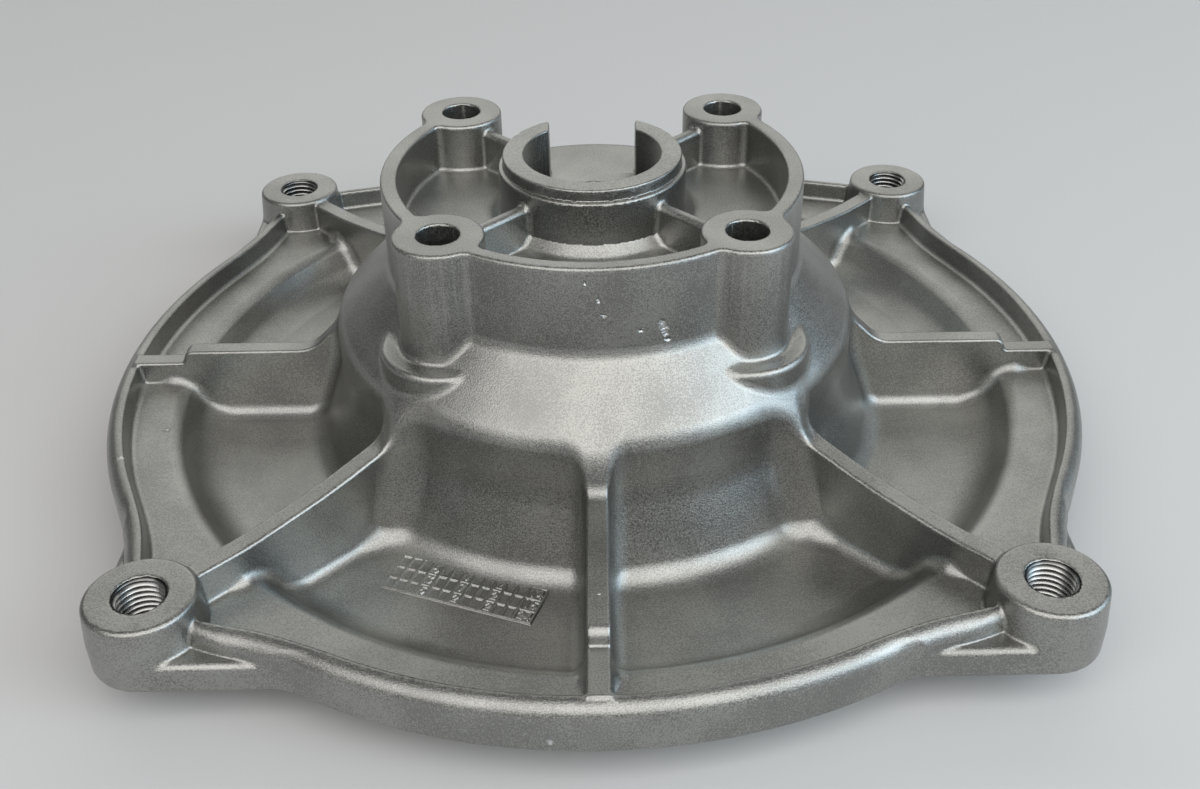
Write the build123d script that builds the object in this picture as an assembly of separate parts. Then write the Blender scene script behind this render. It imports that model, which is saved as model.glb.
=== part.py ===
from build123d import *
from math import cos, radians, sin, sqrt
import os

# Pump casing cover, one die casting, in millimetres with +Z up.
# The origin is on the pump axis, in the face that lies on the casing (z = 0).
# The front rib points to -Y, and the slot of the bearing ring opens to +Y.

# Mounting plate, a disc with an ear at each corner
PLATE_R = 112.4
EAR_REACH = 7.8
EAR_CORNER_R = 11.3
LEDGE_Z = 6.2
LEDGE_CHAMFER = 0.5

# Rim round the dish, flush with the plate, with flanks out to the ears
RIM_WALL = 3.9
RIM_Z = 10.5
RIM_CHAMFER = 1.3
RIM_DRAFT = 9.0
RIM_FLANK = 26.6
RIM_NOSE = 9.6
RIM_NOSE_OUT = 6.9
RIM_BEND_R = 3.0

# Bosses of the ears, tapped M10, which taper from the ears' corners
EAR_R = 10.6
EAR_Z = 14.0
EAR_EDGE_CHAMFER = 0.6
EAR_HOLE_R = 4.3
EAR_HOLE_CHAMFER = 1.0

# Dish floor in two levels, with a sloping step between them
UPPER_FLOOR_Z = 5.4
LOWER_FLOOR_Z = -3.6
TROUGH_W = 10.8
STEP_RUN = 6.1

# Register below the mating face, which centres the cover in the casing
MATING_W = 16.4
REGISTER_DEPTH = 9.0
REGISTER_CHAMFER = 1.0

# Hub, a drum with a 45 degree shoulder and a flat top
HUB_R = 59.0
HUB_EDGE_Z = 26.7
HUB_TOP_Z = 48.2
COVE_WIDTH = 9.0
COVE_HEIGHT = 15.0
COVE_FLATS = 4
HUB_WALL = 5.0

# Eight radial ribs of one thickness: four square to the plate, four to the ears
RIB_T = 4.5
RIB_CHAMFER = 0.6
RIB_BREAK = 0.4
RIB_LOW_Z = 10.9
RIB_TOP_Z = 13.9
RIB_STEP_CHAMFER = 1.5
SIDE_RAMP = 8.0
FRONT_RAMP = 4.0
FRONT_RIB_Z = 17.7
DIAGONAL_OUTER_Z = 12.7
DIAGONAL_MID_RUN = 19.0
DIAGONAL_MID_Z = 14.8
DIAGONAL_RAMP = 3.0
DIAGONAL_INNER_Z = 18.1
DIAGONAL_END = 4.0

# Round pads under the four flange bosses
PAD_R = 14.0
PAD_Z = 33.9
PAD_CHAMFER = 0.5

# Flange ring on the shoulder, open at the back, with four bosses in it
FLANGE_R = 46.1
FLANGE_WALL = 3.6
FLANGE_Z = 59.4
FLANGE_CHAMFER = 0.6
BOSS_PITCH = 31.0
BOSS_R = 9.4
BOSS_HOLE_R = 4.4
BOSS_CHAMFER = 0.5

# Bearing ring on the axis, slotted at the back
BORE_R = 15.0
RING_R = 20.5
RING_LAND_R = 19.5
RING_SHOULDER_Z = 60.2
RING_Z = 62.8
RING_FOOT = 2.6
SLOT_W = 19.4

# Straight webs between the bearing ring and the bosses
WEB_T = 3.0
WEB_Z = 57.2

# How far ribs sink into the floor, and other pieces and tools reach past it
RIB_ROOT = 1.0
REACH = 5.0
FAR = 200.0

EAR_PITCH = (PLATE_R + EAR_REACH) / sqrt(2)
PLATE_HALF = EAR_PITCH + EAR_CORNER_R
REGISTER_R = PLATE_R - MATING_W
STEP_TOP_R = PLATE_R - RIM_WALL - TROUGH_W
STEP_FOOT_R = STEP_TOP_R - STEP_RUN
RIB_BREAK_R = STEP_TOP_R - RIB_BREAK
CONE_SUM = HUB_R + HUB_EDGE_Z
HUB_FLAT_R = CONE_SUM - HUB_TOP_Z
FLANGE_INNER_R = FLANGE_R - FLANGE_WALL
FLANGE_FOOT_Z = CONE_SUM - FLANGE_R
EARS = GridLocations(2 * EAR_PITCH, 2 * EAR_PITCH, 2, 2)
BOSSES = GridLocations(2 * BOSS_PITCH, 2 * BOSS_PITCH, 2, 2)
QUARTERS = PolarLocations(0, 4)


def side_profile(points):
    """A closed outline of (radius, height) points, upright in the XZ plane."""
    return Plane.XZ * make_face(Polyline(*points, close=True))


def turned(points):
    """The body that a (radius, height) outline makes round the axis."""
    return revolve(side_profile(points), Axis.Z)


def cylinder(radius, low, high):
    """A round bar on the axis between two heights."""
    return Pos(0, 0, low) * Cylinder(radius, high - low, align=(Align.CENTER, Align.CENTER, Align.MIN))


def edges_at(body, height):
    """The edges that lie flat at a height."""
    return body.edges().filter_by_position(Axis.Z, height - 0.01, height + 0.01)


def upper_outline():
    """The rim's circle, joined to a square whose corners narrow to the ears."""
    shoulder = EAR_PITCH - RIM_FLANK
    nose_x = EAR_PITCH - RIM_NOSE
    nose_y = EAR_PITCH + RIM_NOSE_OUT
    corner = make_face(
        Polyline(
            (0, 0),
            (PLATE_HALF, 0),
            (PLATE_HALF, shoulder),
            (nose_y, nose_x),
            (EAR_PITCH, EAR_PITCH),
            (nose_x, nose_y),
            (shoulder, PLATE_HALF),
            (0, PLATE_HALF),
            close=True,
        )
    )
    outline = Circle(PLATE_R) + QUARTERS * corner
    bends = [v for v in outline.vertices() if abs(abs(v.X) + abs(v.Y) - nose_x - nose_y) < 0.01]
    return fillet(bends, RIM_BEND_R)


def plate():
    """The plate with its ears and rim, solid up to the rim's top."""
    square = RectangleRounded(2 * PLATE_HALF, 2 * PLATE_HALF, EAR_CORNER_R)
    lower = extrude(Circle(PLATE_R) + square, LEDGE_Z)
    lower = chamfer(edges_at(lower, LEDGE_Z), LEDGE_CHAMFER)
    upper = extrude(upper_outline(), RIM_Z)
    upper = chamfer(edges_at(upper, RIM_Z), RIM_CHAMFER)
    return lower + upper


def ear_boss():
    """The boss of an ear, flush with the plate's corner and tapered above it."""
    return turned(
        [
            (0, 0),
            (EAR_CORNER_R, 0),
            (EAR_CORNER_R, LEDGE_Z),
            (EAR_R, EAR_Z - EAR_EDGE_CHAMFER),
            (EAR_R - EAR_EDGE_CHAMFER, EAR_Z),
            (0, EAR_Z),
        ]
    )


def register():
    """The round spigot below the mating face."""
    disc = cylinder(REGISTER_R, -REGISTER_DEPTH, LEDGE_Z)
    return chamfer(edges_at(disc, -REGISTER_DEPTH), REGISTER_CHAMFER)


def dish_space():
    """The space inside the rim, down to the stepped floor."""
    mouth = offset(upper_outline(), -RIM_WALL, kind=Kind.INTERSECTION)
    above = Pos(0, 0, RIM_Z) * extrude(mouth, REACH)
    below = Pos(0, 0, RIM_Z) * extrude(mouth, LOWER_FLOOR_Z - RIM_Z - REACH, taper=RIM_DRAFT)
    air = turned(
        [
            (0, LOWER_FLOOR_Z),
            (STEP_FOOT_R, LOWER_FLOOR_Z),
            (STEP_TOP_R, UPPER_FLOOR_Z),
            (FAR, UPPER_FLOOR_Z),
            (FAR, HUB_TOP_Z),
            (0, HUB_TOP_Z),
        ]
    )
    return (above + below) & air


def hub():
    """The drum on its cove, with its shoulder and flat top, solid."""
    cove_z = LOWER_FLOOR_Z + COVE_HEIGHT
    cove = []
    for index in range(COVE_FLATS + 1):
        turn = radians(90 * index / COVE_FLATS)
        cove.append(
            (
                HUB_R + COVE_WIDTH * (1 - sin(turn)),
                cove_z - COVE_HEIGHT * cos(turn),
            )
        )
    foot = [(0, -REGISTER_DEPTH), (HUB_R + COVE_WIDTH, -REGISTER_DEPTH)]
    top = [(HUB_R, HUB_EDGE_Z), (HUB_FLAT_R, HUB_TOP_Z), (0, HUB_TOP_Z)]
    return turned(foot + cove + top)


def rib_tops():
    """The (radius, height) lines of the rib tops by angle, from outside in."""
    rim_middle = PLATE_R - RIM_WALL / 2
    step = [
        (rim_middle, RIB_LOW_Z),
        (RIB_BREAK_R, RIB_LOW_Z),
        (RIB_BREAK_R, RIB_TOP_Z - RIB_STEP_CHAMFER),
        (RIB_BREAK_R - RIB_STEP_CHAMFER, RIB_TOP_Z),
    ]
    side = step + [(HUB_R + SIDE_RAMP, RIB_TOP_Z), (HUB_R, RIB_TOP_Z + SIDE_RAMP)]
    front = step + [(HUB_R + FRONT_RAMP, FRONT_RIB_Z), (HUB_R, HUB_EDGE_Z)]
    diagonal = [
        (EAR_PITCH * sqrt(2) - EAR_HOLE_R - REACH, DIAGONAL_OUTER_Z),
        (RIB_BREAK_R, DIAGONAL_OUTER_Z),
        (HUB_R + DIAGONAL_MID_RUN, DIAGONAL_MID_Z),
        (HUB_R + DIAGONAL_RAMP, DIAGONAL_INNER_Z),
        (HUB_R - DIAGONAL_END, HUB_EDGE_Z + DIAGONAL_END),
    ]
    tops = {0: side, 90: side, 180: side, 270: front}
    tops.update({angle: diagonal for angle in (45, 135, 225, 315)})
    return tops


def rib(angle, top):
    """One rib from the hub to the rim, with its top edges broken."""
    inner_r = top[-1][0] - REACH / 2
    root = [
        (inner_r, top[-1][1]),
        (inner_r, LOWER_FLOOR_Z - RIB_ROOT),
        (STEP_FOOT_R, LOWER_FLOOR_Z - RIB_ROOT),
        (STEP_TOP_R, UPPER_FLOOR_Z - RIB_ROOT),
        (top[0][0], UPPER_FLOOR_Z - RIB_ROOT),
    ]
    outline = side_profile(top + root)
    slab = extrude(outline, RIB_T / 2, both=True)
    ends = [
        edge
        for edge in slab.edges()
        if abs(edge.center().Y) > RIB_T / 4
        and edge.center().Z > RIM_Z
        and inner_r + 1 < edge.center().X < top[0][0] - 1
    ]
    return Rot(0, 0, angle) * chamfer(ends, RIB_CHAMFER)


def flange():
    """The ring on the shoulder, with its bosses, pads and the flat inside it."""
    ring = cylinder(FLANGE_R, FLANGE_FOOT_Z - REACH, FLANGE_Z)
    ring -= cylinder(FLANGE_INNER_R, HUB_TOP_Z, FLANGE_Z + REACH)
    ring = chamfer(edges_at(ring, FLANGE_Z), FLANGE_CHAMFER)
    back = make_face(Polyline((0, 0), (FAR, FAR), (-FAR, FAR), close=True))
    ring -= extrude(back, FAR)
    boss = cylinder(BOSS_R, PAD_Z - REACH, FLANGE_Z)
    boss = chamfer(edges_at(boss, FLANGE_Z), BOSS_CHAMFER)
    pad = cylinder(PAD_R, HUB_EDGE_Z - REACH, PAD_Z)
    pad = chamfer(edges_at(pad, PAD_Z), PAD_CHAMFER)
    return ring + BOSSES * (boss + pad)


def bearing_ring():
    """The stepped ring round the bore, and the webs out to the bosses."""
    ring = turned(
        [
            (0, HUB_EDGE_Z),
            (RING_R + RING_FOOT, HUB_EDGE_Z),
            (RING_R + RING_FOOT, HUB_TOP_Z),
            (RING_R, HUB_TOP_Z + RING_FOOT),
            (RING_R, RING_SHOULDER_Z),
            (RING_LAND_R, RING_SHOULDER_Z),
            (RING_LAND_R, RING_Z),
            (0, RING_Z),
        ]
    )
    slot = Pos(0, 0, HUB_TOP_Z) * Box(SLOT_W, FAR, FAR, align=(Align.CENTER, Align.MIN, Align.MIN))
    web = Pos(0, 0, HUB_EDGE_Z) * Box(
        BOSS_PITCH * sqrt(2),
        WEB_T,
        WEB_Z - HUB_EDGE_Z,
        align=(Align.MIN, Align.CENTER, Align.MIN),
    )
    webs = [Rot(0, 0, angle) * web for angle in (45, 135, 225, 315)]
    return ring.fuse(*webs) - slot


def core():
    """The hollow under the hub, open below, with walls of one thickness."""
    inner_r = HUB_R - HUB_WALL
    inner_sum = CONE_SUM - HUB_WALL * sqrt(2)
    roof_z = HUB_TOP_Z - HUB_WALL
    return turned(
        [
            (0, -REGISTER_DEPTH - REACH),
            (inner_r, -REGISTER_DEPTH - REACH),
            (inner_r, inner_sum - inner_r),
            (inner_sum - roof_z, roof_z),
            (0, roof_z),
        ]
    )


def ear_hole():
    """A tapped hole through an ear, chamfered where the screw enters."""
    drill = cylinder(EAR_HOLE_R, -REACH, EAR_Z + REACH)
    mouth = Pos(0, 0, EAR_Z) * Cone(
        EAR_HOLE_R,
        EAR_HOLE_R + 2 * EAR_HOLE_CHAMFER,
        2 * EAR_HOLE_CHAMFER,
    )
    return drill + mouth


cover = plate() + register()
cover -= dish_space()
cover += hub()
for rib_angle, rib_top in rib_tops().items():
    cover += rib(rib_angle, rib_top)
cover += EARS * ear_boss()
cover += flange()
cover += bearing_ring()
cover -= core()
cover -= cylinder(BORE_R, 0, FAR)
cover -= EARS * ear_hole()
cover -= BOSSES * cylinder(BOSS_HOLE_R, HUB_EDGE_Z, FAR)

cover = cover.solid()
cover.label = "casing_cover"
os.makedirs("parts", exist_ok=True)
export_step(cover, "parts/casing_cover.step")
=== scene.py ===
# %% [markdown]
# # A die-cast pump casing cover
# The object is one aluminium casting: a square plate with four ears, a round
# dish with eight ribs, and a hub that carries a flange ring and a bearing ring.
# The first cell loads the measured model, in which the finished pieces must fit.

import math

import bpy
import numpy as np
from mathutils import Matrix


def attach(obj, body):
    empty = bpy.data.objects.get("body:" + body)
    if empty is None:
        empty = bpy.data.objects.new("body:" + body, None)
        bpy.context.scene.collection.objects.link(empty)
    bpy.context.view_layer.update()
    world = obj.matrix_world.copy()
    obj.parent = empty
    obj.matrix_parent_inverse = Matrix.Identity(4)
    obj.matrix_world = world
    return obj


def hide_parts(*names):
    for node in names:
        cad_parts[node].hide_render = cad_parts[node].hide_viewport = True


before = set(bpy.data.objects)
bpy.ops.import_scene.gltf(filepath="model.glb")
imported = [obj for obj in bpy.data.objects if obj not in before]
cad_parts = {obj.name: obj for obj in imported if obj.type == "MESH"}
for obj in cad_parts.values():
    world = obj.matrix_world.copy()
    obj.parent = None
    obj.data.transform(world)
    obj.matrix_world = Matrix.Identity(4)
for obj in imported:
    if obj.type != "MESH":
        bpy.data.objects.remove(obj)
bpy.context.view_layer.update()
scene = bpy.context.scene
MM = 0.001
print("nodes:", sorted(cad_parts))

# %% [markdown]
# ## The camera
# A photograph's viewpoint can be worked out from circles and squares of known
# shape. Here the plate's rim and the four ears gave a camera that stands about
# 33 cm off and looks down at 34 degrees. It is written as three directions, and
# its lens as a distance in pixels of a picture 1200 pixels wide.

# %% Camera
RIGHT = (0.99976, -0.02106, -0.00539)
UP = (0.01635, 0.56488, 0.82501)
AHEAD = (0.01433, 0.82491, -0.56509)
EYE = (0.001376, -0.272762, 0.187036)
PICTURE_WIDTH, LENS_PIXELS, SHIFT_PIXELS = 1200.0, 1359.215, (-21.8, -6.0)
SENSOR_WIDTH = 36.0

camera_data = bpy.data.cameras.new("camera")
camera_data.sensor_width = SENSOR_WIDTH
camera_data.lens = LENS_PIXELS * SENSOR_WIDTH / PICTURE_WIDTH
camera_data.shift_x = SHIFT_PIXELS[0] / PICTURE_WIDTH
camera_data.shift_y = SHIFT_PIXELS[1] / PICTURE_WIDTH
camera_data.clip_start, camera_data.clip_end = 0.01, 20.0
camera = bpy.data.objects.new("camera", camera_data)
columns = zip(RIGHT, UP, [-a for a in AHEAD], EYE)
camera.matrix_world = Matrix([tuple(row) for row in columns] + [(0, 0, 0, 1)])
scene.collection.objects.link(camera)
scene.camera = camera
print("lens:", round(camera_data.lens, 2), "mm")

# %% [markdown]
# ## How the casting is made
# Molten metal rounds every inner corner, so a casting has a fillet wherever two
# walls meet. Chamfering or bevelling a mesh gives that only edge by edge. A
# distance field gives it everywhere: each wall is a formula that says how far a
# point is from it, and two formulas are joined by one that rounds the corner.
# The surface is then the set of points whose distance is zero.
#
# The helpers take arrays, so one call measures millions of points. A distance
# is negative inside the metal. All lengths are in millimetres, and heights are
# above the face that mates with the pump.

# %% Joining distances with rounded corners


def either(a, b, radius):
    """Material of a or of b, with a round fillet where they meet.

    The larger of the radius and the nearer distance, less the length of
    (radius - a, radius - b) where those are positive.
    """
    near = np.maximum(radius, np.minimum(a, b))
    return near - np.hypot(np.maximum(radius - a, 0), np.maximum(radius - b, 0))


def both(a, b, radius):
    """Material that is in a and in b, with its outer edge rounded."""
    return -either(-a, -b, radius)


def blend(a, b, reach):
    """Material of a or of b, where they meet at a flat angle.

    The nearer distance, less reach / 4 times the square of how close the two
    are: (reach - |a - b|) / reach, and nothing where that is negative.
    """
    close = np.maximum(reach - np.abs(a - b), 0) / reach
    return np.minimum(a, b) - close * close * reach / 4


def slope(r, z, start, end):
    """Distance from a straight line in the (radius, height) plane.

    It is negative to the left of the way from start to end.
    """
    dr, dz = end[0] - start[0], end[1] - start[1]
    return ((r - start[0]) * dz - (z - start[1]) * dr) / math.hypot(dr, dz)


def smooth_step(a):
    """0 below 0, 1 above 1, and 3a^2 - 2a^3 between."""
    a = np.clip(a, 0, 1)
    return a * a * (3 - 2 * a)


def change_over(first, last, where, start, width):
    """first up to start, last from start + width on, and smooth between."""
    return first + (last - first) * smooth_step((where - start) / width)


print("fillet at a square corner:", round(float(either(1.0, 1.0, 2.0)), 3))

# %% [markdown]
# ## The plate, rim and dish
# The plate is a disc joined to a square with round corners. The rim stands on it
# flush with the disc, and cuts straight across to each ear, which leaves a small
# three-cornered ledge there. The part is the same in all four corners, so one
# corner is described and both coordinates are folded onto it: u is the smaller
# of |x| and |y|, and v the larger.
#
# In the names below, a ROUND is the radius of an outer edge and a FILLET the
# radius of an inner corner. A PITCH is measured from the centre planes, so it is
# half the distance between two ears.

# %% Plate, rim and dish
PLATE_R, PLATE_FILLET, MATING_ROUND = 112.36, 1.5, 0.5
LEDGE_Z, LEDGE_ROUND, LEDGE_FILLET = 6.2, 1.8, 0.6
RIM_WALL, RIM_Z, RIM_DRAFT = 3.9, 10.5, 0.176
RIM_OUTER_ROUND, RIM_INNER_ROUND, RIM_FILLET = 3.5, 0.6, 1.0
FLANK_EAR, FLANK_KNEE, FLANK_END = (85.0, 85.0), (75.4, 91.9), (58.4, 96.3)
FLANK_ROUND = 3.0
EAR_PITCH, EAR_CORNER_R, EAR_R, EAR_Z = 85.0, 11.3, 10.6, 14.0
FLOOR_HIGH, FLOOR_LOW = 5.4, -3.6
STEP_TOP_R, STEP_FOOT_R, STEP_ROUND, STEP_FILLET = 97.7, 91.6, 1.8, 4.0
REGISTER_R, REGISTER_DEPTH, REGISTER_TOP_Z = 96.0, 9.0, 1.0
REGISTER_ROUND, REGISTER_FILLET = 1.0, 0.3


def plate_outline(x, y):
    """Distance in plan from the plate: a circle joined to a rounded square."""
    qx, qy = np.abs(x) - EAR_PITCH, np.abs(y) - EAR_PITCH
    corner = np.hypot(np.maximum(qx, 0), np.maximum(qy, 0))
    square = corner + np.minimum(np.maximum(qx, qy), 0) - EAR_CORNER_R
    return either(np.hypot(x, y) - PLATE_R, square, PLATE_FILLET)


def rim_outline(x, y, outline):
    """Distance in plan from the rim: the plate's outline, cut along the flanks."""
    u = np.minimum(np.abs(x), np.abs(y))
    v = np.maximum(np.abs(x), np.abs(y))
    flank = slope(u, v, FLANK_KNEE, FLANK_END)
    nose = slope(u, v, FLANK_EAR, FLANK_KNEE)
    cut = both(flank, nose, FLANK_ROUND)
    return np.maximum(outline, blend(np.hypot(x, y) - PLATE_R, cut, FLANK_ROUND))


def dish(x, y, z, outline):
    """The plate and rim, hollowed to the stepped floor, over the register."""
    r = np.hypot(x, y)
    rim = rim_outline(x, y, outline)
    ledge = both(outline, z - LEDGE_Z, LEDGE_ROUND)
    plate = either(ledge, both(rim, z - RIM_Z, RIM_OUTER_ROUND), LEDGE_FILLET)
    block = both(np.maximum(plate, outline), -z, MATING_ROUND)
    register = both(r - REGISTER_R, -REGISTER_DEPTH - z, REGISTER_ROUND)
    block = either(block, np.maximum(register, z - REGISTER_TOP_Z), REGISTER_FILLET)
    step = slope(r, z, (STEP_TOP_R, FLOOR_HIGH), (STEP_FOOT_R, FLOOR_LOW))
    floor = either(z - FLOOR_LOW, both(z - FLOOR_HIGH, step, STEP_ROUND), STEP_FILLET)
    rim_wall = -(rim + RIM_WALL + RIM_DRAFT * (RIM_Z - z))
    return both(block, either(floor, rim_wall, RIM_FILLET), RIM_INNER_ROUND)


print("plate outline at the front:", round(float(plate_outline(0.0, -112.4)), 2))

# %% [markdown]
# ## The hub
# The hub is turned: a drum with a flat top, whose 45 degree shoulder is cut once
# the ribs are on. At its foot it leans out steeply and runs into the floor with
# a fillet, so the metal could flow from the hub into the thin dish.

# %% Hub
HUB_R, HUB_EDGE_Z, HUB_TOP_Z, HUB_ROUND = 59.0, 26.7, 48.2, 0.8
CONE_SUM = HUB_R + HUB_EDGE_Z
COVE_WIDTH, COVE_HEIGHT, COVE_FILLET, COVE_BLEND = 6.5, 18.0, 4.0, 1.2
COVE_TOP_Z, COVE_END_R = 18.0, 80.0


def hub(x, y, z):
    """The drum and the cove at its foot."""
    r = np.hypot(x, y)
    drum = both(r - HUB_R, z - HUB_TOP_Z, HUB_ROUND)
    foot, top = (HUB_R + COVE_WIDTH, FLOOR_LOW), (HUB_R, FLOOR_LOW + COVE_HEIGHT)
    lean = slope(r, z, foot, top)
    cove = either(np.maximum(lean, z - COVE_TOP_Z), z - FLOOR_LOW, COVE_FILLET)
    body = blend(drum, np.maximum(cove, r - COVE_END_R), COVE_BLEND)
    return np.maximum(body, -REGISTER_DEPTH - z)


print("hub wall, distance 1 mm inside it:", round(float(hub(58.0, 0.0, 22.0)), 2))

# %% [markdown]
# ## The ribs
# Eight ribs of one thickness run from the hub to the rim. A rib is a flat slab
# whose top follows a line of heights, so its formula has two parts: how far the
# point is from the slab's sides, and how far it is above the top. All four
# diagonal ribs are one formula, because the coordinates are folded.

# %% The tops of the ribs
RIB_TOP_Z, RIB_LOW_Z, RIB_BREAK_R = 13.9, 10.9, 97.3
BREAK_ROUND, BREAK_FILLET, RAMP_BLEND = 2.4, 0.8, 2.5
SIDE_RAMP_SUM = 80.9
FRONT_LINE = [(RIB_BREAK_R, RIB_TOP_Z), (63.0, 17.7), (HUB_R, HUB_EDGE_Z)]
DIAGONAL_LINE = [(97.4, 12.7), (78.0, 14.8), (62.0, 18.1), (55.0, 30.7)]
DIAGONAL_BLENDS = [0.6, 0.6, 3.0]


def side_top(s, z):
    """Top of the side and back ribs: low at the rim, level, then a ramp."""
    level = both(z - RIB_TOP_Z, s - RIB_BREAK_R, BREAK_ROUND)
    ramp = (s + z - SIDE_RAMP_SUM) / math.sqrt(2)
    return blend(either(level, z - RIB_LOW_Z, BREAK_FILLET), ramp, RAMP_BLEND)


def front_top(s, z):
    """Top of the front rib: low at the rim, rising, then a steep ramp."""
    rise = both(slope(s, z, *FRONT_LINE[:2]), s - RIB_BREAK_R, BREAK_ROUND)
    ramp = slope(s, z, *FRONT_LINE[1:])
    return blend(either(rise, z - RIB_LOW_Z, BREAK_FILLET), ramp, RAMP_BLEND)


def diagonal_top(s, z):
    """Top of a diagonal rib: level at the ear, then ever steeper."""
    top = z - DIAGONAL_LINE[0][1]
    for start, end, reach in zip(DIAGONAL_LINE, DIAGONAL_LINE[1:], DIAGONAL_BLENDS):
        top = blend(top, slope(s, z, start, end), reach)
    return top


print("side rib, distance 2 mm above it:", round(float(side_top(90.0, 15.9)), 2))

# %% [markdown]
# ## Ribs as slabs, and their fillets
# A rib's foot lies hidden in the dish's floor and rises with it at the step. The
# fillets round the ribs aren't all alike: the photograph shows wide ones beside
# the hub at the front and tight ones at the rim, so their radius is a formula
# of the place as well.

# %% Ribs
RIB_T, RIB_ROUND = 4.5, 0.7
RIB_START, RIB_END, DIAGONAL_END = 40.0, 109.2, 112.5
FOOT_LOW_Z, FOOT_HIGH_Z, FOOT_RISE, FOOT_RISE_WIDTH = -5.5, 3.5, 91.0, 7.0
RIB_FILLET, RIM_RIB_FILLET, BACK_FILLET = 3.3, 0.9, 3.2
FRONT_FILLET, CORNER_FILLET = 4.5, 7.5
# Where a fillet changes over, as start and width: two turns from the front rib in
# degrees, then the radius near the hub, counted inwards, and near the rim.
FRONT_TURN, BACK_TURN = (15.0, 20.0), (43.0, 4.0)
NEAR_HUB, NEAR_RIM = (-75.0, 9.0), (100.0, 5.0)


def rib(s, t, z, top, end):
    """A slab along s, half its thickness each side of t = 0, under a top."""
    slab = both(np.abs(t) - RIB_T / 2, top, RIB_ROUND)
    foot = change_over(FOOT_LOW_Z, FOOT_HIGH_Z, s, FOOT_RISE, FOOT_RISE_WIDTH)
    return np.maximum(np.maximum(slab, RIB_START - s), np.maximum(s - end, foot - z))


def ribs(x, y, z):
    """All eight ribs, four of them from one folded formula."""
    ax, ay = np.abs(x), np.abs(y)
    s, t = (ax + ay) / math.sqrt(2), (ax - ay) / math.sqrt(2)
    found = rib(s, t, z, diagonal_top(s, z), DIAGONAL_END)
    found = np.minimum(found, rib(ax, y, z, side_top(ax, z), RIB_END))
    found = np.minimum(found, rib(y, x, z, side_top(y, z), RIB_END))
    return np.minimum(found, rib(-y, x, z, front_top(-y, z), RIB_END))


def rib_fillet(x, y):
    """Radius of the fillet round the ribs: wide beside the hub at the front."""
    r = np.hypot(x, y)
    turn = np.degrees(np.arctan2(np.abs(x), -y))
    beside_hub = change_over(FRONT_FILLET, CORNER_FILLET, turn, *FRONT_TURN)
    beside_hub = change_over(beside_hub, BACK_FILLET, turn, *BACK_TURN)
    radius = change_over(RIB_FILLET, beside_hub, -r, *NEAR_HUB)
    return change_over(radius, RIM_RIB_FILLET, r, *NEAR_RIM)


print("fillet beside the front ribs:", round(float(rib_fillet(30.0, -52.0)), 2), "mm")

# %% [markdown]
# ## The flange and the bearing ring
# The top of the hub carries a thin ring with four bosses, open at the back, and
# a stepped ring round the bore with a slot. Ring and bosses end in one plane,
# so they are joined in plan first and cut off by the plane afterwards: joined
# as solids, the fillet would raise a welt where the tops meet.

# %% Flange and bearing ring
UPPER_FOOT_Z = 30.0
FLANGE_R, FLANGE_WALL, FLANGE_Z, FLANGE_ROUND = 46.1, 3.6, 59.4, 0.8
BOSS_PITCH, BOSS_R, BOSS_HOLE_R, BOSS_FILLET = 31.0, 9.4, 4.4, 1.6
SEAT_ROUND = 0.5
RING_R, SHOULDER_Z, SHOULDER_ROUND = 20.5, 60.2, 0.5
LAND_R, RING_Z, LAND_ROUND = 19.5, 62.8, 0.45
RING_FOOT = 2.6
SLOT_HALF, SLOT_ROUND = 9.7, 0.6
WEB_T, WEB_Z, WEB_ROUND, WEB_START, WEB_END = 3.0, 57.2, 1.35, 19.0, 38.0


def boss_centre(x, y):
    """Distance in plan from the middle of the nearest flange boss."""
    return np.hypot(np.abs(x) - BOSS_PITCH, np.abs(y) - BOSS_PITCH)


def back_gap(x, y):
    """Distance in plan into the open quarter at the back, between 45 degree lines."""
    return (y - np.abs(x)) / math.sqrt(2)


def flange(x, y, z):
    """Ring and bosses in plan, cut off at the flange face."""
    r = np.hypot(x, y)
    middle = FLANGE_R - FLANGE_WALL / 2
    ring = np.abs(r - middle) - FLANGE_WALL / 2
    ring = np.maximum(ring, back_gap(x, y))
    plan = either(ring, boss_centre(x, y) - BOSS_R, BOSS_FILLET)
    return np.maximum(both(plan, z - FLANGE_Z, FLANGE_ROUND), UPPER_FOOT_Z - z)


def flange_seat(x, y, z):
    """The flat inside the flange ring, which ends within the ring's wall."""
    middle = np.hypot(x, y) - (FLANGE_R - FLANGE_WALL / 2)
    seat = both(middle, z - HUB_TOP_Z, SEAT_ROUND)
    return np.maximum(both(seat, back_gap(x, y), SEAT_ROUND), UPPER_FOOT_Z - z)


def bearing_ring(x, y, z):
    """The ring round the bore in two steps, with its slot at the back."""
    r = np.hypot(x, y)
    ring = np.minimum(
        both(r - LAND_R, z - RING_Z, LAND_ROUND),
        both(r - RING_R, z - SHOULDER_Z, SHOULDER_ROUND),
    )
    foot = (r + z - RING_R - HUB_TOP_Z - RING_FOOT) / math.sqrt(2)
    ring = np.minimum(ring, np.maximum(foot, z - HUB_TOP_Z - RING_FOOT - 1))
    slot = np.maximum(np.abs(x) - SLOT_HALF, -y)
    return np.maximum(both(ring, -slot, SLOT_ROUND), UPPER_FOOT_Z - z)


def webs(x, y, z):
    """Four straight webs from the bearing ring to the bosses."""
    ax, ay = np.abs(x), np.abs(y)
    s, t = (ax + ay) / math.sqrt(2), (ax - ay) / math.sqrt(2)
    web = both(np.abs(t) - WEB_T / 2, z - WEB_Z, WEB_ROUND)
    web = np.maximum(np.maximum(web, WEB_START - s), s - WEB_END)
    return np.maximum(web, UPPER_FOOT_Z - z)


print("flange ring, distance at its wall:", round(float(flange(0.0, -44.3, 50.0)), 2))

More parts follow.
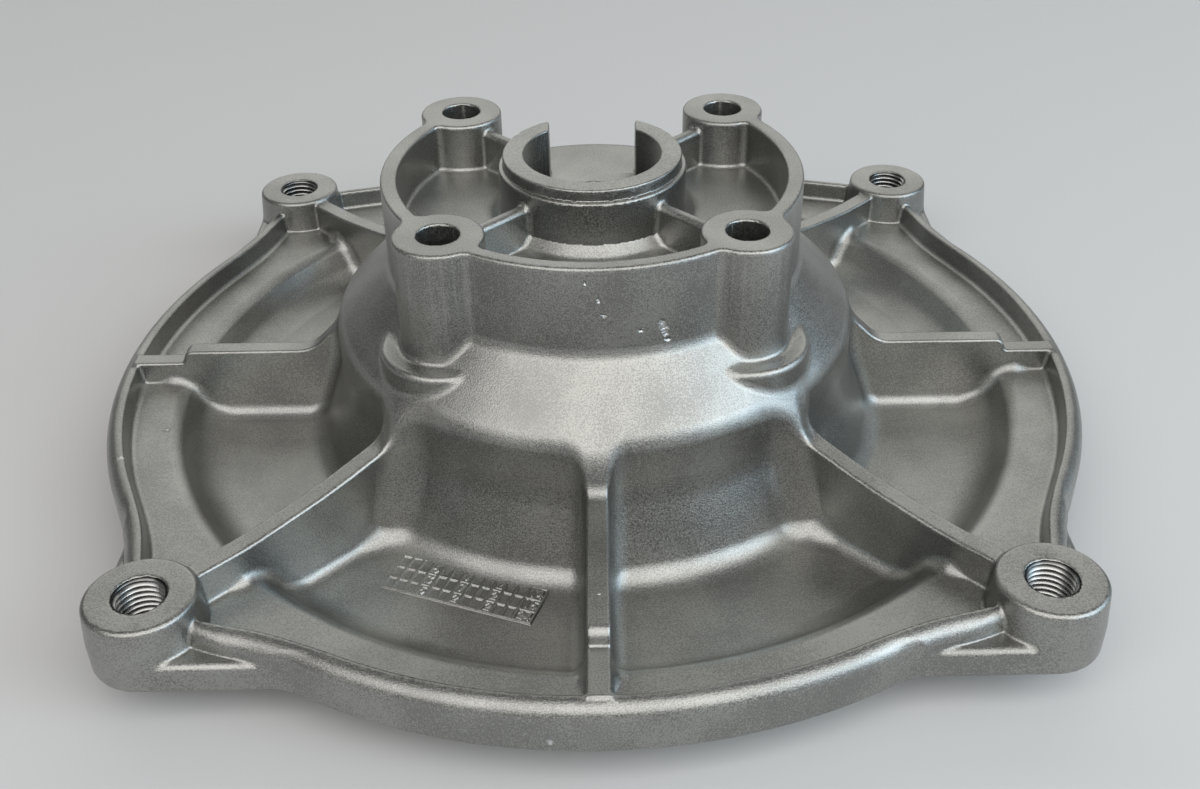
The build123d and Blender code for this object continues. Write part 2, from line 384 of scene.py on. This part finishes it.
# %% [markdown]
# ## The whole casting
# The pieces are joined in the order in which a pattern maker would think of
# them: body, ribs, pads, ears, flange, ring. The hub's shoulder is cut after the
# ribs, and the wall is cut to its outline after the ears, because a fillet
# between two faces that lie in one plane would raise a welt. The holes come
# last, so nothing fills them again.

# %% Joining the casting
CONE_FOOT_Z, CONE_ROUND = 20.5, 1.8
PAD_R, PAD_Z, PAD_FOOT_Z, PAD_ROUND, PAD_FILLET = 14.0, 33.9, 20.0, 1.3, 1.0
EAR_DRAFT, EAR_FOOT_Z, EAR_ROUND, EAR_FILLET = 0.09, 3.0, 1.0, 0.7
FLANGE_FILLET, WEB_FILLET, RING_FILLET = 1.2, 1.2, 0.8
SLOT_REACH = 24.0
HUB_WALL, CORE_ROUND = 5.0, 1.0
BORE_R, BORE_ROUND, HOLE_ROUND = 15.0, 0.4, 0.35
EAR_THREAD_R, MOUTH_R, MOUTH_ROUND = 5.05, 5.35, 0.15


def cover(x, y, z):
    """Distance from the surface of the whole casting."""
    r = np.hypot(x, y)
    outline = plate_outline(x, y)
    body = np.minimum(dish(x, y, z, outline), hub(x, y, z))
    body = either(body, ribs(x, y, z), rib_fillet(x, y))
    cone = (r + z - CONE_SUM) / math.sqrt(2)
    body = both(body, np.minimum(cone, z - CONE_FOOT_Z), CONE_ROUND)
    pad = both(boss_centre(x, y) - PAD_R, z - PAD_Z, PAD_ROUND)
    body = either(body, np.maximum(pad, PAD_FOOT_Z - z), PAD_FILLET)
    ear = np.hypot(np.abs(x) - EAR_PITCH, np.abs(y) - EAR_PITCH)
    ear_wall = np.maximum(ear - EAR_CORNER_R, ear - EAR_R - EAR_DRAFT * (EAR_Z - z))
    ear_boss = np.maximum(both(ear_wall, z - EAR_Z, EAR_ROUND), EAR_FOOT_Z - z)
    body = np.maximum(either(body, ear_boss, EAR_FILLET), outline)
    body = np.minimum(body, flange_seat(x, y, z))
    body = either(body, flange(x, y, z), FLANGE_FILLET)
    ring = either(bearing_ring(x, y, z), webs(x, y, z), WEB_FILLET)
    body = either(body, ring, RING_FILLET)
    slot = np.maximum(np.maximum(np.abs(x) - SLOT_HALF, -y), HUB_TOP_Z - z)
    body = np.maximum(body, -np.maximum(slot, r - SLOT_REACH))
    core = np.maximum(r - (HUB_R - HUB_WALL), cone + HUB_WALL)
    core = np.maximum(core, z - (HUB_TOP_Z - HUB_WALL))
    body = both(body, -core, CORE_ROUND)
    body = both(body, BORE_R - r, BORE_ROUND)
    body = both(body, BOSS_HOLE_R - boss_centre(x, y), HOLE_ROUND)
    body = np.maximum(body, -REGISTER_DEPTH - z)
    mouth = np.maximum(EAR_THREAD_R - ear, (MOUTH_R - (EAR_Z - z) - ear) / math.sqrt(2))
    return both(body, mouth, MOUTH_ROUND)


print("distance in the plate's middle plane:", round(float(cover(0.0, -110.5, 3.0)), 2))

# %% [markdown]
# ## From distances to a mesh
# A net is laid through the space: a grid of small cubes. Each cube that the
# surface crosses gets one vertex, at the mean of the crossings on its edges,
# and each grid edge that crosses the surface gets a face through the four
# cubes round it. Big blocks far from the surface are passed over, because a
# distance says how far away the nearest surface is at least.

# %% Reading the field near the surface
STEP = 0.6
BLOCK = 8
LOW = np.array([-115.2, -115.2, -11.1])
COUNT = np.array([48, 48, 16])
# A cube's corner is 1.73 half edges from its middle; the fillets need some more.
NEAR_HALVES = 1.9
BLOCKS_AT_ONCE = 400


def lattice(sizes):
    """Every whole-numbered place of a grid, one row each."""
    axes = np.meshgrid(*[np.arange(size) for size in sizes], indexing="ij")
    return np.stack(axes, -1).reshape(-1, 3)


def read_field():
    """The distance at each grid point, exact only in blocks near the surface."""
    field = np.empty(tuple(COUNT * BLOCK), np.float32)
    half = BLOCK * STEP / 2
    starts = lattice(COUNT)
    middles = (LOW + starts * BLOCK * STEP + half - STEP / 2).T
    far = cover(*middles)
    blocks = field.reshape(COUNT[0], BLOCK, COUNT[1], BLOCK, COUNT[2], BLOCK)
    blocks[:] = far.reshape(COUNT[0], 1, COUNT[1], 1, COUNT[2], 1)
    near = starts[np.abs(far) < half * NEAR_HALVES + STEP]
    inner = lattice([BLOCK] * 3)
    for group in np.array_split(near, max(1, len(near) // BLOCKS_AT_ONCE)):
        points = (group[:, None, :] * BLOCK + inner[None]) * STEP + LOW
        values = cover(points[..., 0], points[..., 1], points[..., 2])
        values = values.reshape(-1, BLOCK, BLOCK, BLOCK)
        blocks[group[:, 0], :, group[:, 1], :, group[:, 2], :] = values
    return field, len(near) / len(starts)


field, share_read = read_field()
print("field:", field.shape, "blocks read:", round(share_read * 100), "%")

# %% [markdown]
# ## The net
# Blender's own Remesh would first need a closed mesh to start from. Here there
# are only distances, and numpy can look at all the cubes at once.

# %% The net of vertices and faces


def cube_vertices(field, inside):
    """One vertex for each crossed cube, in grid units, and the cubes' numbers.

    The vertex is the mean of the crossings on the cube's twelve edges, each at
    a / (a - b) of the way between distances a and b.
    """
    corners = lattice([2] * 3)
    size = np.array(field.shape) - 1
    views = [inside[tuple(slice(a, a + n) for a, n in zip(c, size))] for c in corners]
    crossed = np.logical_or.reduce(views) & ~np.logical_and.reduce(views)
    cubes = np.argwhere(crossed)
    number = np.full(crossed.shape, -1, np.int32)
    number[tuple(cubes.T)] = np.arange(len(cubes))
    values = [field[tuple((cubes + c).T)] for c in corners]
    total = np.zeros((len(cubes), 3))
    hits = np.zeros(len(cubes))
    pairs = [(a, b) for a in range(8) for b in range(a, 8)]
    for a, b in pairs:
        if np.abs(corners[a] - corners[b]).sum() != 1:
            continue
        cut = (values[a] < 0) != (values[b] < 0)
        share = np.where(cut, values[a] / np.where(cut, values[a] - values[b], 1), 0)
        point = corners[a] + share[:, None] * (corners[b] - corners[a])
        total += np.where(cut[:, None], point, 0)
        hits += cut
    return cubes + total / hits[:, None], number


def net_faces(inside, number):
    """A four-cornered face round each grid edge that crosses the surface."""
    faces = []
    for axis in range(3):
        order = (axis, (axis + 1) % 3, (axis + 2) % 3)
        low = np.moveaxis(inside, order, (0, 1, 2))
        cube = np.moveaxis(number, order, (0, 1, 2))
        edge = np.argwhere(low[:-1, 1:-1, 1:-1] != low[1:, 1:-1, 1:-1])
        edge[:, 1:] += 1
        a, b, c = edge.T
        ring = [cube[a, b + i, c + j] for i, j in ((-1, -1), (0, -1), (0, 0), (-1, 0))]
        quad = np.stack(ring, 1)
        leaving = low[a, b, c]
        quad[~leaving] = quad[~leaving][:, ::-1]
        faces.append(quad)
    return np.concatenate(faces)


inside = field < 0
net, number = cube_vertices(field, inside)
quads = net_faces(inside, number)
print("net:", len(net), "vertices,", len(quads), "faces")

# %% [markdown]
# ## Settling on the surface
# The net's vertices are a little off, since the distance isn't quite straight
# between grid points. Each one slides along the slope of the field, by as much
# as the field says is missing. Two rounds bring it home.

# %% Settling
LONGEST_MOVE = 0.5
FLATTEST = 0.05


def slope_of(points, gap=0.02):
    """Which way the distance grows fastest, from a small step each way."""
    found = np.empty_like(points)
    for axis in range(3):
        step = np.zeros(3)
        step[axis] = gap
        ahead = cover(*(points + step).T)
        found[:, axis] = (ahead - cover(*(points - step).T)) / (2 * gap)
    return found


def settle(points, times):
    """Moves points along the slope until their distance is zero."""
    for _ in range(times):
        way = slope_of(points)
        steepness = np.maximum((way ** 2).sum(1), FLATTEST)
        move = np.clip(cover(*points.T) / steepness, -LONGEST_MOVE, LONGEST_MOVE)
        points = points - way * move[:, None]
    return points


net = settle(net * STEP + LOW, 2)
print("left after settling:", round(float(np.abs(cover(*net.T)).mean()), 5), "mm")

# %% [markdown]
# ## Thinning the net
# Flat floors need few triangles and small fillets need many. The Decimate
# modifier removes the edges that change the shape least. The vertices then
# settle on the surface again, and each gets the exact slope of the field as its
# normal, so highlights run as cleanly as on the real metal.

# %% The casting's mesh
LIMIT = 192000


def mesh_object(name, vertices, faces):
    """A mesh object at the origin from vertices in millimetres."""
    mesh = bpy.data.meshes.new(name)
    mesh.from_pydata((vertices * MM).tolist(), [], faces)
    made = bpy.data.objects.new(name, mesh)
    scene.collection.objects.link(made)
    return made


def thinned(made, share):
    """The object's mesh after the Decimate modifier, as a new mesh."""
    thin = made.modifiers.new("thin", "DECIMATE")
    thin.ratio = share
    graph = bpy.context.evaluated_depsgraph_get()
    mesh = bpy.data.meshes.new_from_object(made.evaluated_get(graph))
    made.modifiers.clear()
    return mesh


def vertex_array(mesh):
    """A mesh's vertices as an array in millimetres."""
    flat = np.empty(len(mesh.vertices) * 3)
    mesh.vertices.foreach_get("co", flat)
    return flat.reshape(-1, 3) / MM


casting = mesh_object("casting", net, quads.tolist())
thin_mesh = thinned(casting, LIMIT / (2 * len(quads)))
full_mesh = casting.data
casting.data = thin_mesh
bpy.data.meshes.remove(full_mesh)
points = settle(vertex_array(thin_mesh), 2)
thin_mesh.vertices.foreach_set("co", (points * MM).ravel())
thin_mesh.update()
thin_mesh.shade_smooth()
normals = slope_of(points, 0.04)
normals /= np.linalg.norm(normals, axis=1)[:, None]
thin_mesh.normals_split_custom_set_from_vertices(normals)
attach(casting, "root")
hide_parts("casing_cover")
print("casting:", len(points), "vertices,", len(thin_mesh.polygons), "triangles")

# %% [markdown]
# ## The threads
# A tap cuts the threads after casting, so they are sharper and brighter than
# the skin round them. Each is a sleeve that lies in the ear's hole: a tube whose
# inner wall waves in and out once per pitch. Because the wave also shifts with
# the angle, the crest climbs by one pitch in each turn, which makes it a screw.

# %% Threads in the ears
PITCH, THREAD_CORE_R, THREAD_DEPTH = 1.25, 4.32, 0.68
THREAD_STEEP, THREAD_FLAT = 1.3, 0.15
SLEEVE_R, SLEEVE_LOW, SLEEVE_HIGH, SLEEVE_MOUTH_R = 5.2, 0.2, 13.75, 5.3
SLEEVE_COLUMNS, SLEEVE_ROWS = 96, 132


def tube_faces(count, around, ring):
    """Faces of a tube of count sections with the given corners each.

    A ring's last section meets its first; otherwise both ends get a cap.
    """
    number = np.arange(count * around).reshape(count, around)
    here = number if ring else number[:-1]
    ahead = np.roll(number, -1, 0) if ring else number[1:]
    quads = np.stack([here, ahead, np.roll(ahead, -1, 1), np.roll(here, -1, 1)], -1)
    caps = [] if ring else [number[0].tolist(), number[-1][::-1].tolist()]
    return quads.reshape(-1, 4).tolist() + caps


def thread_sleeve(middle):
    """Corners of a sleeve round an ear's hole, section by section.

    With f the fraction of z / pitch - a / 2 pi, the inner wall is at
    core + depth * (steep |2 f - 1| - flat), where the bracket is cut off below 0
    and above 1, and nowhere nearer than the mouth's 45 degree cone.
    """
    a = np.arange(SLEEVE_COLUMNS) * 2 * math.pi / SLEEVE_COLUMNS
    z = np.linspace(SLEEVE_LOW, SLEEVE_HIGH, SLEEVE_ROWS)
    a, z = np.meshgrid(a, z, indexing="ij")
    wave = np.abs(2 * np.mod(z / PITCH - a / (2 * math.pi), 1) - 1)
    r = THREAD_CORE_R + THREAD_DEPTH * np.clip(THREAD_STEEP * wave - THREAD_FLAT, 0, 1)
    r = np.maximum(r, z - (EAR_Z - SLEEVE_MOUTH_R))
    a = np.concatenate([a, a[:, :2]], 1)
    z = np.concatenate([z, z[:, -1:], z[:, :1]], 1)
    r = np.concatenate([r, np.full((SLEEVE_COLUMNS, 2), SLEEVE_R)], 1)
    return np.stack([middle[0] + r * np.cos(a), middle[1] + r * np.sin(a), z], -1)


sleeves, sleeve_faces = [], []
for middle in ((EAR_PITCH * i, EAR_PITCH * j) for i in (-1, 1) for j in (-1, 1)):
    sleeve = thread_sleeve(middle)
    start = len(sleeves) * sleeve.shape[0] * sleeve.shape[1]
    one = tube_faces(*sleeve.shape[:2], True)
    sleeve_faces += [[start + k for k in face] for face in one]
    sleeves.append(sleeve.reshape(-1, 3))
thread_points = np.concatenate(sleeves)
threads = mesh_object("threads", thread_points, sleeve_faces)
threads.data.shade_smooth()
# How deep each point lies in the ear's wall; the shader paints shade into the roots by it.
depth = np.hypot(*(np.abs(thread_points[:, :2]) - EAR_PITCH).T) - THREAD_CORE_R
root = threads.data.attributes.new("root", "FLOAT", "POINT")
root.data.foreach_set("value", smooth_step(depth / THREAD_DEPTH))
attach(threads, "root")
print("threads:", len(threads.data.polygons), "faces")

# %% [markdown]
# ## The date grid
# A foundry's mould carries a small insert with a grid of cells. It is stamped as
# the mould is used, so castings can be dated, and it prints a low plate with
# sunken cells and raised figures. Nothing overhangs, so one height for each
# point of the plate describes it all: the plate, less the cells, plus the
# strokes of the figures. A figure is a few straight strokes in a unit square.

# %% Date grid
GRID_CORNER, GRID_TURN = (-44.6, -65.2), math.radians(-20.9)
GRID_LONG, GRID_WIDE, GRID_HIGH = 33.3, 10.5, 0.42
GRID_EDGE, GRID_MARGIN, GRID_FIRST = 0.34, 0.5, 0.2
ROWS, COLUMNS = 3, 13
CELL, LAST_CELL, WALL, SLOPE, CELL_DEPTH = 2.42, 3.9, 0.24, 0.3, 0.9
ROW_WALL = 1.3 * WALL
FIGURE_LEFT, FIGURE_LOW, FIGURE_STEP = 0.5, 0.6, 1.55
FIGURE_WIDE, FIGURE_TALL, FIGURE_HIGH = 0.95, 1.9, 0.85
STROKE_HALF, STROKE_SLOPE = 0.42, 0.28
GRID_SUNK, GRID_FOOT = 0.01, 0.4
GRID_SAMPLES = 334, 106
STROKES = {
    "1": [(0.5, 0.0), (0.5, 1.0)],
    "2": [(0.0, 0.8), (0.3, 1.0), (0.8, 1.0), (1.0, 0.7), (0.0, 0.0), (1.0, 0.0)],
    "3": [(0.0, 1.0), (1.0, 1.0), (0.4, 0.6), (1.0, 0.35), (0.6, 0.0), (0.0, 0.1)],
    "4": [(0.8, 0.0), (0.8, 1.0), (0.0, 0.3), (1.1, 0.3)],
    "5": [(1.0, 1.0), (0.1, 1.0), (0.0, 0.55), (0.7, 0.6), (1.0, 0.3), (0.6, 0.0),
          (0.0, 0.1)],
    "7": [(0.0, 1.0), (1.0, 1.0), (0.3, 0.0)],
}
FIGURES = {(2, 3): "5", (2, 6): "7", (2, 9): "2", (2, 12): "14",
           (1, 3): "3", (1, 6): "7", (1, 9): "2", (1, 12): "15",
           (0, 3): "5", (0, 6): "2", (0, 9): "2", (0, 12): "24"}


def box_depth(a, b, low_a, high_a, low_b, high_b):
    """How far a point is inside a rectangle, negative outside."""
    return np.minimum(np.minimum(a - low_a, high_a - a), np.minimum(b - low_b, high_b - b))


def stroke_distance(a, b, path):
    """Distance to the nearest piece of a line drawn through the path's points."""
    nearest = np.full(a.shape, np.inf)
    for (a0, b0), (a1, b1) in zip(path, path[1:]):
        da, db = a1 - a0, b1 - b0
        along = np.clip(((a - a0) * da + (b - b0) * db) / (da * da + db * db), 0, 1)
        nearest = np.minimum(nearest, np.hypot(a - a0 - along * da, b - b0 - along * db))
    return nearest


def grid_height(a, b):
    """Height of the grid above the floor at a along it and b across it."""
    high = GRID_HIGH * smooth_step(box_depth(a, b, 0, GRID_LONG, 0, GRID_WIDE) / GRID_EDGE)
    row_step = (GRID_WIDE - GRID_MARGIN) / ROWS
    for row, column in ((i, j) for i in range(ROWS) for j in range(COLUMNS)):
        a0, b0 = GRID_FIRST + column * CELL, GRID_MARGIN + row * row_step
        a1 = a0 + (CELL if column < COLUMNS - 1 else LAST_CELL) - 2 * WALL
        sunk = box_depth(a, b, a0, a1, b0, b0 + row_step - ROW_WALL)
        high = high - CELL_DEPTH * GRID_HIGH * np.clip(sunk / SLOPE, 0, 1)
        for place, figure in enumerate(FIGURES.get((row, column), "")):
            left, low = a0 + FIGURE_LEFT + FIGURE_STEP * place, b0 + FIGURE_LOW
            strokes = STROKES[figure]
            path = [(left + FIGURE_WIDE * u, low + FIGURE_TALL * v) for u, v in strokes]
            ridge = (STROKE_HALF - stroke_distance(a, b, path)) / STROKE_SLOPE
            high = np.maximum(high, FIGURE_HIGH * GRID_HIGH * np.clip(ridge, 0, 1))
    return high


def date_corners():
    """Corners of the plate: its top by rows, then back under the floor."""
    along = np.linspace(0, GRID_LONG, GRID_SAMPLES[0])
    across = np.linspace(0, GRID_WIDE, GRID_SAMPLES[1])
    a, b = np.meshgrid(along, across, indexing="ij")
    z = FLOOR_LOW + grid_height(a, b) - GRID_SUNK
    a = np.concatenate([a, a[:, :2]], 1)
    b = np.concatenate([b, b[:, -1:], b[:, :1]], 1)
    z = np.concatenate([z, np.full((GRID_SAMPLES[0], 2), FLOOR_LOW - GRID_FOOT)], 1)
    c, s = math.cos(GRID_TURN), math.sin(GRID_TURN)
    x, y = GRID_CORNER[0] + a * c - b * s, GRID_CORNER[1] + a * s + b * c
    return np.stack([x, y, z], -1)


corners = date_corners()
plate_faces = tube_faces(*corners.shape[:2], False)
date_plate = mesh_object("date_plate", corners.reshape(-1, 3), plate_faces)
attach(date_plate, "root")
print("date plate:", len(date_plate.data.polygons), "faces")

# %% [markdown]
# ## Which way the faces point
# A face has a front, and light is only right on that side. A closed mesh whose
# faces all point outwards has a positive volume, so the volume's sign tells
# whether they have to be turned round.

# %% Turning faces outwards


def volume(mesh):
    """Volume inside a closed mesh in cubic millimetres.

    The sum over its triangles of p . (q x r) / 6.
    """
    mesh.calc_loop_triangles()
    index = np.empty(len(mesh.loop_triangles) * 3, np.int32)
    mesh.loop_triangles.foreach_get("vertices", index)
    p, q, r = vertex_array(mesh)[index.reshape(-1, 3)].transpose(1, 0, 2)
    return float((p * np.cross(q, r)).sum() / 6)


for made in (casting, threads, date_plate):
    if volume(made.data) < 0:
        made.data.flip_normals()
    print(made.name, "volume:", round(volume(made.data)), "mm3")

# %% [markdown]
# ## The metal
# Blasted cast aluminium is grey and softly mirrored: a fine grain breaks up its
# reflections, and no face is quite one tone. Two noises make that, a wide one for
# the flow of the metal and a fine one for its grain. Both are read in the
# object's own coordinates, so the finish sits still on the part.

# %% Shader helpers


def add_node(material, kind, inputs, operation=None, data_type=None):
    """A new shader node. Its inputs, by name or number, are sockets or values."""
    made = material.node_tree.nodes.new(kind)
    if operation:
        made.operation = operation
    if data_type:
        made.data_type = data_type
    for place, value in inputs.items():
        if isinstance(value, bpy.types.NodeSocket):
            material.node_tree.links.new(value, made.inputs[place])
        else:
            made.inputs[place].default_value = value
    return made


def own_place(material):
    """The socket that gives a point in the object's own coordinates."""
    return material.node_tree.nodes.new("ShaderNodeTexCoord").outputs["Object"]


def noise(material, scale, detail):
    """A noise in the object's own coordinates."""
    inputs = {"Vector": own_place(material), "Scale": scale, "Detail": detail}
    return add_node(material, "ShaderNodeTexNoise", inputs)


print("shader helpers:", [made.__name__ for made in (add_node, own_place, noise)])

# %% [markdown]
# ## Metal with a grain
# The wide noise sets the grey and the fine one scatters it, through one colour
# ramp. The fine noise also varies the roughness and, where the skin is cast and
# not cut, presses a little relief into the surface.

# %% Grained metal
GRAIN_SCALE, GRAIN_DETAIL, GRAIN_SHARE = 3400.0, 1.0, 1.7
FLOW_SCALE, FLOW_DETAIL = 70.0, 5.0
NOISE_LOW, NOISE_HIGH = 0.3, 0.7


def grained_metal(name, dark, light, rough, depth):
    """Metal between two greys, with a roughness span and a depth of grain.

    The ramp reads flow + 1.7 (grain - 0.5), as both noises swing about 0.5.
    """
    material = bpy.data.materials.new(name)
    material.use_nodes = True
    nodes, links = material.node_tree.nodes, material.node_tree.links
    shader = nodes["Principled BSDF"]
    shader.inputs["Metallic"].default_value = 1.0
    grain = noise(material, GRAIN_SCALE, GRAIN_DETAIL).outputs["Fac"]
    flow = noise(material, FLOW_SCALE, FLOW_DETAIL).outputs["Fac"]
    lowered = add_node(material, "ShaderNodeMath", {
        0: flow, 1: GRAIN_SHARE / 2}, "SUBTRACT")
    mixed = add_node(material, "ShaderNodeMath", {
        0: grain, 1: GRAIN_SHARE, 2: lowered.outputs["Value"]}, "MULTIPLY_ADD")
    tint = add_node(material, "ShaderNodeValToRGB", {"Fac": mixed.outputs["Value"]})
    ends = ((NOISE_LOW, dark), (NOISE_HIGH, light))
    for element, (position, grey) in zip(tint.color_ramp.elements, ends):
        element.position = position
        element.color = (*grey, 1)
    links.new(tint.outputs["Color"], shader.inputs["Base Color"])
    span = add_node(material, "ShaderNodeMapRange", {
        "Value": grain, "From Min": NOISE_LOW, "From Max": NOISE_HIGH,
        "To Min": rough[0], "To Max": rough[1]})
    links.new(span.outputs["Result"], shader.inputs["Roughness"])
    relief = add_node(material, "ShaderNodeBump", {
        "Height": grain, "Strength": 1.0, "Distance": depth * MM})
    links.new(relief.outputs["Normal"], shader.inputs["Normal"])
    return material


CAST_GREYS = (0.255, 0.255, 0.245), (0.40, 0.40, 0.38)
CUT_GREYS = (0.5, 0.5, 0.49), (0.58, 0.58, 0.57)
cast = grained_metal("cast_metal", *CAST_GREYS, (0.30, 0.45), 0.05)
cut = grained_metal("cut_metal", *CUT_GREYS, (0.24, 0.3), 0.001)
print("metals:", cast.name, "and", cut.name)

# %% [markdown]
# ## Nicks and thread roots
# Where the part was knocked there are nicks: the shader measures the distance
# from each nick's middle, bends it with noise so that no nick is round, presses
# the surface in there and shows the metal fresh and pale. The threads' roots get
# painted shade: they are coloured near black, for the shade that falls in the
# grooves. How deep a point lies was stored with the threads' mesh as an
# attribute, which the shader reads back.

# %% Nicks and thread roots
# Each nick's middle and reach.
NICKS = [
    (13.5, -44.2, 45.9, 1.1), (13.9, -44.0, 44.8, 1.2), (14.3, -43.9, 43.4, 1.0),
    (14.7, -43.8, 41.9, 0.7), (9.2, -45.2, 45.1, 0.6), (1.9, -46.1, 49.0, 0.6),
    (0.8, -46.1, 52.6, 0.7), (-1.6, -46.1, 56.4, 0.6), (-102.1, -38.3, 10.4, 1.0),
    (-97.6, -21.3, 5.4, 0.8), (-16.3, 9.6, 62.8, 0.8), (-2.5, -81.6, 15.6, 0.5),
    (0.3, -88.4, 14.8, 0.5), (-8.8, -112.0, 2.7, 0.8), (-8.9, -112.0, -0.1, 0.6),
]
NICK_HEART = 0.25
NICK_DEPTH = 0.3 * MM
BEND, BEND_SCALE, BEND_DETAIL = 1.6 * MM, 900.0, 2.0
FRESH_METAL = (0.75, 0.76, 0.76, 1)
# Near black, painted into the threads' roots as shade.
ROOT_PAINTED_SHADE = (0.015, 0.015, 0.015, 1)


def sound_metal(material, bent):
    """A socket that is 1 on sound metal and falls to 0 in the middle of a nick."""
    sound = 1.0
    for x, y, z, reach in NICKS:
        gap = add_node(material, "ShaderNodeVectorMath", {
            0: bent, 1: (x * MM, y * MM, z * MM)}, "DISTANCE")
        fall = add_node(material, "ShaderNodeMapRange", {
            "Value": gap.outputs["Value"],
            "From Min": NICK_HEART * reach * MM, "From Max": reach * MM})
        product = add_node(material, "ShaderNodeMath", {
            0: sound, 1: fall.outputs["Result"]}, "MULTIPLY")
        sound = product.outputs["Value"]
    return sound


def add_nicks(material):
    """Presses the nicks into a metal and shows it fresh and pale there."""
    nodes, links = material.node_tree.nodes, material.node_tree.links
    shader, relief = nodes["Principled BSDF"], nodes["Bump"]
    wander = noise(material, BEND_SCALE, BEND_DETAIL).outputs["Color"]
    shift = add_node(material, "ShaderNodeVectorMath", {
        0: wander, 1: (BEND,) * 3, 2: own_place(material)}, "MULTIPLY_ADD")
    centred = add_node(material, "ShaderNodeVectorMath", {
        0: shift.outputs["Vector"], 1: (BEND / 2,) * 3}, "SUBTRACT")
    sound = sound_metal(material, centred.outputs["Vector"])
    fresh = add_node(material, "ShaderNodeMix", {
        "Factor": sound, "A": FRESH_METAL,
        "B": nodes["Color Ramp"].outputs["Color"]}, data_type="RGBA")
    links.new(fresh.outputs["Result"], shader.inputs["Base Color"])
    dent = add_node(material, "ShaderNodeBump", {
        "Height": sound, "Distance": NICK_DEPTH, "Normal": relief.outputs["Normal"]})
    links.new(dent.outputs["Normal"], shader.inputs["Normal"])


def paint_root_shade(material):
    """Paints shade into the threads' roots: the deeper a point lies, the darker."""
    nodes, links = material.node_tree.nodes, material.node_tree.links
    root = nodes.new("ShaderNodeAttribute")
    root.attribute_name = "root"
    # The deeper a point lies in a root, the more painted shade it gets.
    shade = add_node(material, "ShaderNodeMix", {
        "Factor": root.outputs["Fac"], "A": nodes["Color Ramp"].outputs["Color"],
        "B": ROOT_PAINTED_SHADE}, data_type="RGBA")
    links.new(shade.outputs["Result"], nodes["Principled BSDF"].inputs["Base Color"])


add_nicks(cast)
paint_root_shade(cut)
for made, metal in ((casting, cast), (threads, cut), (date_plate, cast)):
    made.data.materials.clear()
    made.data.materials.append(metal)
    print(made.name, "is of", metal.name)

# %% [markdown]
# ## Floor
# The part stands on a plain pale floor without gloss, which the upright walls
# mirror. It lies a hair below the register, so the two faces never share a plane.

# %% Floor
# Half its side and its height, both in metres, and its grey.
FLOOR_HALF, FLOOR_Z, FLOOR_GREY = 3, -0.00905, 0.58

around = ((-1, -1), (1, -1), (1, 1), (-1, 1))
floor_corners = [(FLOOR_HALF * i, FLOOR_HALF * j, FLOOR_Z) for i, j in around]
floor_mesh = bpy.data.meshes.new("floor")
floor_mesh.from_pydata(floor_corners, [], [(0, 1, 2, 3)])
floor = bpy.data.objects.new("floor", floor_mesh)
scene.collection.objects.link(floor)
pale = bpy.data.materials.new("pale_floor")
pale.use_nodes = True
pale_shader = pale.node_tree.nodes["Principled BSDF"]
pale_shader.inputs["Base Color"].default_value = (FLOOR_GREY, FLOOR_GREY, FLOOR_GREY, 1)
pale_shader.inputs["Roughness"].default_value = 1.0
pale_shader.inputs["Specular IOR Level"].default_value = 0.0
floor.data.materials.append(pale)
print("floor at z", round(FLOOR_Z / MM, 2), "mm")

# %% [markdown]
# ## Light
# Metal shows the room it stands in, so the room is part of the finish. A wide
# soft lamp above and in front lights every slope that leans towards the camera,
# a dim one at the back is what the level faces show, and a cool one on the right
# draws the edge there. They are area lamps, as small ones would give hard dots.

# %% Lamps and background
# Name, place and size in metres, radiance, colour.
LAMPS = [
    ("key", (0.12, -0.72, 0.84), (2.9, 1.2), 1.85, (1.0, 0.985, 0.96)),
    ("back", (0.0, 1.25, 0.78), (2.6, 1.3), 0.9, (1.0, 1.0, 0.97)),
    ("right", (1.1, -0.35, 0.5), (1.2, 0.8), 2.4, (0.6, 0.82, 1.0)),
]
ROOM_COLOUR, ROOM_STRENGTH = (0.5, 0.5, 0.5, 1), 0.35


def soft_lamp(name, place, size, radiance, colour):
    """A rectangular area lamp turned towards the part, as bright as given.

    Its power is its radiance times pi times its area.
    """
    data = bpy.data.lights.new(name, "AREA")
    data.shape = "RECTANGLE"
    data.size, data.size_y = size
    data.energy = radiance * math.pi * size[0] * size[1]
    data.color = colour
    lamp = bpy.data.objects.new(name, data)
    away = np.array(place) / np.linalg.norm(place)
    side = np.cross((0, 0, 1), away)
    side = side / np.linalg.norm(side)
    up = np.cross(away, side)
    rows = [(side[i], up[i], away[i], place[i]) for i in range(3)]
    lamp.matrix_world = Matrix(rows + [(0, 0, 0, 1)])
    scene.collection.objects.link(lamp)


for lamp_values in LAMPS:
    soft_lamp(*lamp_values)
world = bpy.data.worlds.new("room")
scene.world = world
world.use_nodes = True
background = world.node_tree.nodes["Background"]
background.inputs["Color"].default_value = ROOM_COLOUR
background.inputs["Strength"].default_value = ROOM_STRENGTH
scene.view_settings.view_transform = "Standard"

# %% [markdown]
# ## End of the scene
# The finished pieces must lie inside the measured model's box. The last cell
# prints a closing line.

# %% End of the scene
print("scene built")
